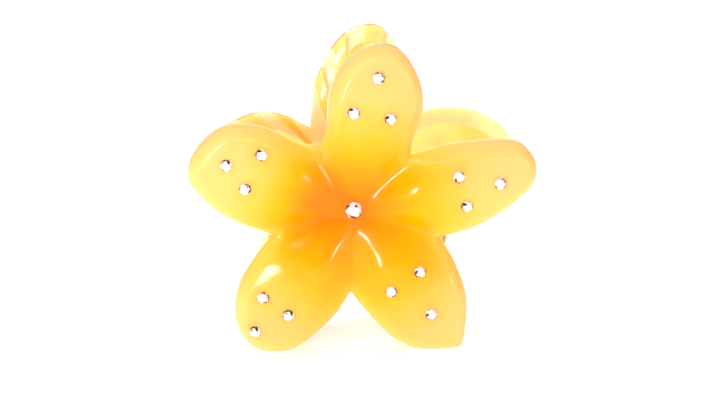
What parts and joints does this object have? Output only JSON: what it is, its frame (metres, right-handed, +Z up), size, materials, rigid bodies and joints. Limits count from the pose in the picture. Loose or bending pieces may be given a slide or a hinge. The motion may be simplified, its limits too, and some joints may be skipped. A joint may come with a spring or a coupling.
{
  "type": "flower hair clip",
  "caption": "Sprung claw hair clip in translucent plastic: front and rear flower-shaped halves on a hinge pin, with toothed jaws and set stones.",
  "frame": {"origin": "centre of the bounding box in X and Y, on the ground under the four lower petals", "axes": "+X along the hinge, to the right seen from the front flower; -Y out of the front flower; +Z up, from the jaws to the levers"},
  "size_m": [0.0773, 0.0459, 0.0694],
  "materials": {
    "jelly_plastic": "glossy translucent, orange at the throat to pale yellow at the tips",
    "crystal": "faceted, foil-backed",
    "pin_metal": "bright",
    "spring_steel": "bright"
  },
  "bodies": {
    "rear_half": {"rear_flower": "jelly_plastic", "hinge_pin": "pin_metal", "torsion_spring": "spring_steel", "rear_stone_centre": "crystal", "rear_stone_top_1": "crystal", "rear_stone_top_2": "crystal", "rear_stone_top_3": "crystal", "rear_stone_right_1": "crystal", "rear_stone_right_2": "crystal", "rear_stone_right_3": "crystal", "rear_stone_lower_right_1": "crystal", "rear_stone_lower_right_2": "crystal", "rear_stone_lower_right_3": "crystal", "rear_stone_lower_left_1": "crystal", "rear_stone_lower_left_2": "crystal", "rear_stone_lower_left_3": "crystal", "rear_stone_left_1": "crystal", "rear_stone_left_2": "crystal", "rear_stone_left_3": "crystal"},
    "front_half": {"front_flower": "jelly_plastic", "front_stone_centre": "crystal", "front_stone_top_1": "crystal", "front_stone_top_2": "crystal", "front_stone_top_3": "crystal", "front_stone_right_1": "crystal", "front_stone_right_2": "crystal", "front_stone_right_3": "crystal", "front_stone_lower_right_1": "crystal", "front_stone_lower_right_2": "crystal", "front_stone_lower_right_3": "crystal", "front_stone_lower_left_1": "crystal", "front_stone_lower_left_2": "crystal", "front_stone_lower_left_3": "crystal", "front_stone_left_1": "crystal", "front_stone_left_2": "crystal", "front_stone_left_3": "crystal"}
  },
  "joints": [
    {"name": "hinge", "type": "hinge", "parent": "rear_half", "child": "front_half", "pos_m": [0, 0, 0.0213], "axis": [-1, 0, 0], "range_deg": [0, 27], "stiffness_Nm_per_rad": 0.12, "springref_deg": -34.38, "deforming": ["torsion_spring"]}
  ]
}
